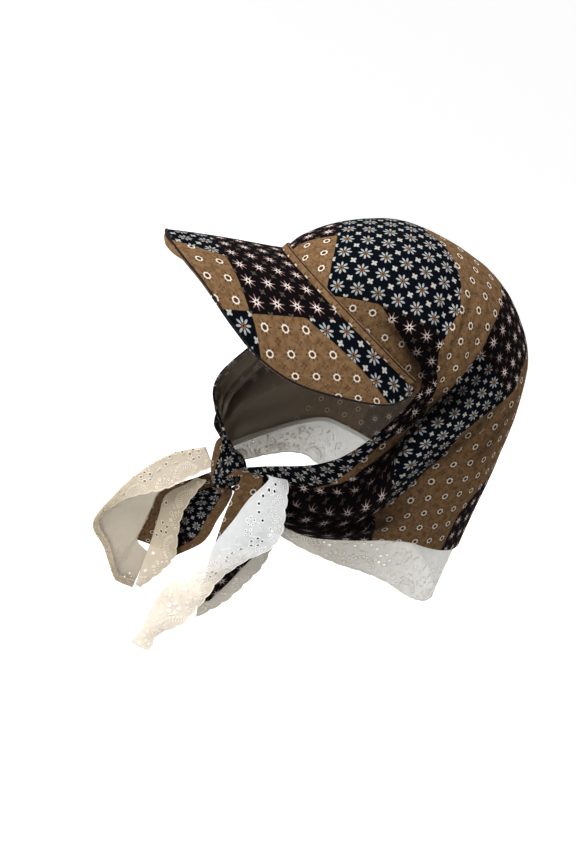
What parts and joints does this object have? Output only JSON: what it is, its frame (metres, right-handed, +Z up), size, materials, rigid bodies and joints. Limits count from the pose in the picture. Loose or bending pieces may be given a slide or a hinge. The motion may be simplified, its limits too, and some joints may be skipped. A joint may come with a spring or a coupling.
{
  "type": "peaked headscarf sun hat",
  "caption": "Sun scarf on a stiff peak: printed cotton hood gathered at the temples, with a neck cape, eyelet lace hem and lace-edged ties knotted under the chin.",
  "frame": {"origin": "the inside of the crown's top, where the wearer's head carries the hood", "axes": "+Z up, the peak points along -Y, the wearer's left is +X"},
  "size_m": [0.1828, 0.3086, 0.3483],
  "materials": {
    "printed_cotton": "matte patchwork print in navy, black and tan",
    "tan_cotton": "matte woven",
    "eyelet_lace": "sheer white embroidered cotton"
  },
  "bodies": {
    "root": {"hood": "printed_cotton", "peak": "printed_cotton", "peak_band": "tan_cotton", "hem_lace": "eyelet_lace", "knot": "printed_cotton", "left_tie_end": "printed_cotton", "left_tie_lace": "eyelet_lace", "left_tie_back_lace": "eyelet_lace", "right_tie_end": "printed_cotton", "right_tie_lace": "eyelet_lace", "right_tie_inner_lace": "eyelet_lace"}
  },
  "joints": []
}
